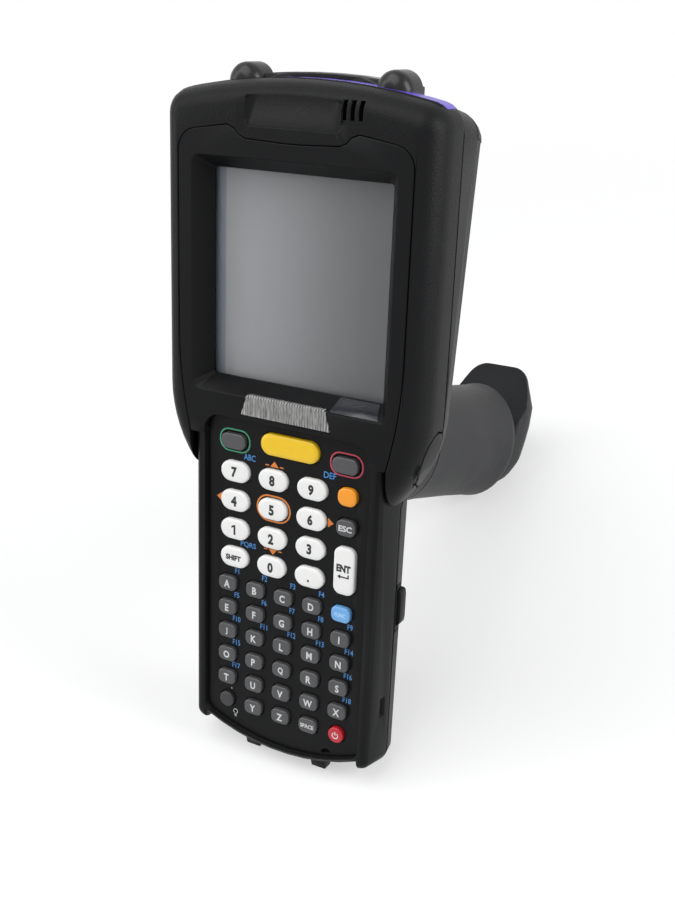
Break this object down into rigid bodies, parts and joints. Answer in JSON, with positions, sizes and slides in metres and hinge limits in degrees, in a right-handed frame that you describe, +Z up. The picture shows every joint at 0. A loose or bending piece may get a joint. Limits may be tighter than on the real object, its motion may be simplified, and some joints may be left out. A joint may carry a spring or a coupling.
{
  "type": "portable barcode data terminal",
  "caption": "Handheld data terminal with a touch screen head, a shift-key alphanumeric keypad, a scan window at the top edge and a pistol grip with a trigger behind.",
  "frame": {"origin": "on the floor under the middle of the object's box, as it stands on its two bottom lugs and the heel of the grip base", "axes": "+Z up; +X to the right of a viewer who faces the screen; -Y is the side that the screen and keypad face, +Y is where the grip stands out"},
  "size_m": [0.0824, 0.1865, 0.1927],
  "materials": {
    "shell": "fine-textured moulding",
    "seal": "soft",
    "screw": "plated",
    "touch_glass": "clear, slightly grey",
    "display": "pale grey display, off",
    "key_plate": "satin black with printed legends",
    "key_mat": "soft",
    "board": "lacquered circuit board",
    "light_bar": "clear ribbed",
    "bumper": "dull black",
    "scan_window": "dark violet tint",
    "engine": "dull grey",
    "speaker": "black cone",
    "cell": "bright",
    "contacts": "gold plated in a black block",
    "socket": "black",
    "grip_shell": "fine-textured moulding",
    "grip_rubber": "smooth dull rubber",
    "grip_base": "fine-textured moulding",
    "trigger": "smooth",
    "pin": "ground steel",
    "spring": "spring wire",
    "battery": "fine-textured moulding",
    "latch": "smooth",
    "key_yellow": "hard key cap",
    "key_orange": "hard key cap",
    "key_blue": "hard key cap",
    "key_red": "hard key cap",
    "key_grey": "hard key cap with printed legend",
    "key_white": "hard key cap with printed legend"
  },
  "bodies": {
    "housing": {"front_bezel": "shell", "head_shroud": "shell", "rear_housing": "shell", "housing_seal": "seal", "housing_screws": "screw", "touch_panel": "touch_glass", "lcd_module": "display", "keypad_plate": "key_plate", "keymat": "key_mat", "keypad_board": "board", "light_bar": "light_bar", "top_bumper": "bumper", "scan_window": "scan_window", "scan_engine": "engine", "main_board": "board", "speaker": "speaker", "backup_cell": "cell", "battery_contacts": "contacts", "headset_jack": "socket", "dock_connector": "socket", "grip_half_left": "grip_shell", "grip_half_right": "grip_shell", "grip_sleeve": "grip_rubber", "grip_base": "grip_base", "grip_screws": "screw", "trigger_pin": "pin", "trigger_spring": "spring", "trigger_switch": "socket"},
    "trigger": {"trigger": "trigger"},
    "battery": {"battery_pack": "battery"},
    "latch_left": {"battery_latch_left": "latch"},
    "latch_right": {"battery_latch_right": "latch"},
    "jack_cover": {"jack_cover": "shell"},
    "scan_key": {"scan_key": "key_yellow"},
    "action_key_left": {"action_key_left": "key_grey"},
    "action_key_right": {"action_key_right": "key_grey"},
    "orange_key": {"orange_key": "key_orange"},
    "escape_key": {"escape_key": "key_grey"},
    "enter_key": {"enter_key": "key_white"},
    "shift_key": {"shift_key": "key_white"},
    "point_key": {"point_key": "key_grey"},
    "blue_key": {"blue_key": "key_blue"},
    "power_key": {"power_key": "key_red"},
    "backlight_key": {"backlight_key": "key_grey"},
    "key_0": {"key_0": "key_white"},
    "key_1": {"key_1": "key_white"},
    "key_2": {"key_2": "key_white"},
    "key_3": {"key_3": "key_white"},
    "key_4": {"key_4": "key_white"},
    "key_5": {"key_5": "key_white"},
    "key_6": {"key_6": "key_white"},
    "key_7": {"key_7": "key_white"},
    "key_8": {"key_8": "key_white"},
    "key_9": {"key_9": "key_white"},
    "letter_row_1": {"letter_row_1": "key_grey"},
    "letter_row_2": {"letter_row_2": "key_grey"},
    "letter_row_3": {"letter_row_3": "key_grey"},
    "letter_row_4": {"letter_row_4": "key_grey"},
    "letter_row_5": {"letter_row_5": "key_grey"},
    "letter_row_6": {"letter_row_6": "key_grey"}
  },
  "joints": [
    {"name": "scan_key_press", "type": "slide", "parent": "housing", "child": "scan_key", "axis": [0, 0.9527, -0.3039], "range_m": [0, 0.0007], "stiffness_N_per_m": 400},
    {"name": "action_key_left_press", "type": "slide", "parent": "housing", "child": "action_key_left", "axis": [0, 0.9527, -0.3039], "range_m": [0, 0.0007], "stiffness_N_per_m": 400},
    {"name": "action_key_right_press", "type": "slide", "parent": "housing", "child": "action_key_right", "axis": [0, 0.9527, -0.3039], "range_m": [0, 0.0007], "stiffness_N_per_m": 400},
    {"name": "orange_key_press", "type": "slide", "parent": "housing", "child": "orange_key", "axis": [0, 0.9527, -0.3039], "range_m": [0, 0.0007], "stiffness_N_per_m": 400},
    {"name": "escape_key_press", "type": "slide", "parent": "housing", "child": "escape_key", "axis": [0, 0.9527, -0.3039], "range_m": [0, 0.0007], "stiffness_N_per_m": 400},
    {"name": "enter_key_press", "type": "slide", "parent": "housing", "child": "enter_key", "axis": [0, 0.9527, -0.3039], "range_m": [0, 0.0007], "stiffness_N_per_m": 400},
    {"name": "shift_key_press", "type": "slide", "parent": "housing", "child": "shift_key", "axis": [0, 0.9527, -0.3039], "range_m": [0, 0.0007], "stiffness_N_per_m": 400},
    {"name": "point_key_press", "type": "slide", "parent": "housing", "child": "point_key", "axis": [0, 0.9527, -0.3039], "range_m": [0, 0.0007], "stiffness_N_per_m": 400},
    {"name": "blue_key_press", "type": "slide", "parent": "housing", "child": "blue_key", "axis": [0, 0.9527, -0.3039], "range_m": [0, 0.0007], "stiffness_N_per_m": 400},
    {"name": "power_key_press", "type": "slide", "parent": "housing", "child": "power_key", "axis": [0, 0.9527, -0.3039], "range_m": [0, 0.0007], "stiffness_N_per_m": 400},
    {"name": "backlight_key_press", "type": "slide", "parent": "housing", "child": "backlight_key", "axis": [0, 0.9527, -0.3039], "range_m": [0, 0.0007], "stiffness_N_per_m": 400},
    {"name": "key_0_press", "type": "slide", "parent": "housing", "child": "key_0", "axis": [0, 0.9527, -0.3039], "range_m": [0, 0.0007], "stiffness_N_per_m": 400},
    {"name": "key_1_press", "type": "slide", "parent": "housing", "child": "key_1", "axis": [0, 0.9527, -0.3039], "range_m": [0, 0.0007], "stiffness_N_per_m": 400},
    {"name": "key_2_press", "type": "slide", "parent": "housing", "child": "key_2", "axis": [0, 0.9527, -0.3039], "range_m": [0, 0.0007], "stiffness_N_per_m": 400},
    {"name": "key_3_press", "type": "slide", "parent": "housing", "child": "key_3", "axis": [0, 0.9527, -0.3039], "range_m": [0, 0.0007], "stiffness_N_per_m": 400},
    {"name": "key_4_press", "type": "slide", "parent": "housing", "child": "key_4", "axis": [0, 0.9527, -0.3039], "range_m": [0, 0.0007], "stiffness_N_per_m": 400},
    {"name": "key_5_press", "type": "slide", "parent": "housing", "child": "key_5", "axis": [0, 0.9527, -0.3039], "range_m": [0, 0.0007], "stiffness_N_per_m": 400},
    {"name": "key_6_press", "type": "slide", "parent": "housing", "child": "key_6", "axis": [0, 0.9527, -0.3039], "range_m": [0, 0.0007], "stiffness_N_per_m": 400},
    {"name": "key_7_press", "type": "slide", "parent": "housing", "child": "key_7", "axis": [0, 0.9527, -0.3039], "range_m": [0, 0.0007], "stiffness_N_per_m": 400},
    {"name": "key_8_press", "type": "slide", "parent": "housing", "child": "key_8", "axis": [0, 0.9527, -0.3039], "range_m": [0, 0.0007], "stiffness_N_per_m": 400},
    {"name": "key_9_press", "type": "slide", "parent": "housing", "child": "key_9", "axis": [0, 0.9527, -0.3039], "range_m": [0, 0.0007], "stiffness_N_per_m": 400},
    {"name": "letter_row_1_press", "type": "slide", "parent": "housing", "child": "letter_row_1", "axis": [0, 0.9527, -0.3039], "range_m": [0, 0.0007], "stiffness_N_per_m": 400},
    {"name": "letter_row_2_press", "type": "slide", "parent": "housing", "child": "letter_row_2", "axis": [0, 0.9527, -0.3039], "range_m": [0, 0.0007], "stiffness_N_per_m": 400},
    {"name": "letter_row_3_press", "type": "slide", "parent": "housing", "child": "letter_row_3", "axis": [0, 0.9527, -0.3039], "range_m": [0, 0.0007], "stiffness_N_per_m": 400},
    {"name": "letter_row_4_press", "type": "slide", "parent": "housing", "child": "letter_row_4", "axis": [0, 0.9527, -0.3039], "range_m": [0, 0.0007], "stiffness_N_per_m": 400},
    {"name": "letter_row_5_press", "type": "slide", "parent": "housing", "child": "letter_row_5", "axis": [0, 0.9527, -0.3039], "range_m": [0, 0.0007], "stiffness_N_per_m": 400},
    {"name": "letter_row_6_press", "type": "slide", "parent": "housing", "child": "letter_row_6", "axis": [0, 0.9527, -0.3039], "range_m": [0, 0.0007], "stiffness_N_per_m": 400},
    {"name": "trigger_pull", "type": "hinge", "parent": "housing", "child": "trigger", "pos_m": [0, -0.02356, 0.09174], "axis": [-1, 0, 0], "range_deg": [0, 9], "stiffness_Nm_per_rad": 0.6},
    {"name": "battery_slide", "type": "slide", "parent": "housing", "child": "battery", "axis": [0, 0.9527, -0.3039], "range_m": [0, 0.028]},
    {"name": "latch_left_press", "type": "slide", "parent": "battery", "child": "latch_left", "axis": [1, 0, 0], "range_m": [0, 0.0014], "stiffness_N_per_m": 500},
    {"name": "latch_right_press", "type": "slide", "parent": "battery", "child": "latch_right", "axis": [-1, 0, 0], "range_m": [0, 0.0014], "stiffness_N_per_m": 500},
    {"name": "jack_cover_hinge", "type": "hinge", "parent": "housing", "child": "jack_cover", "pos_m": [0.041, -0.051, 0.10521], "axis": [0, -0.9527, 0.3039], "range_deg": [0, 100]}
  ]
}
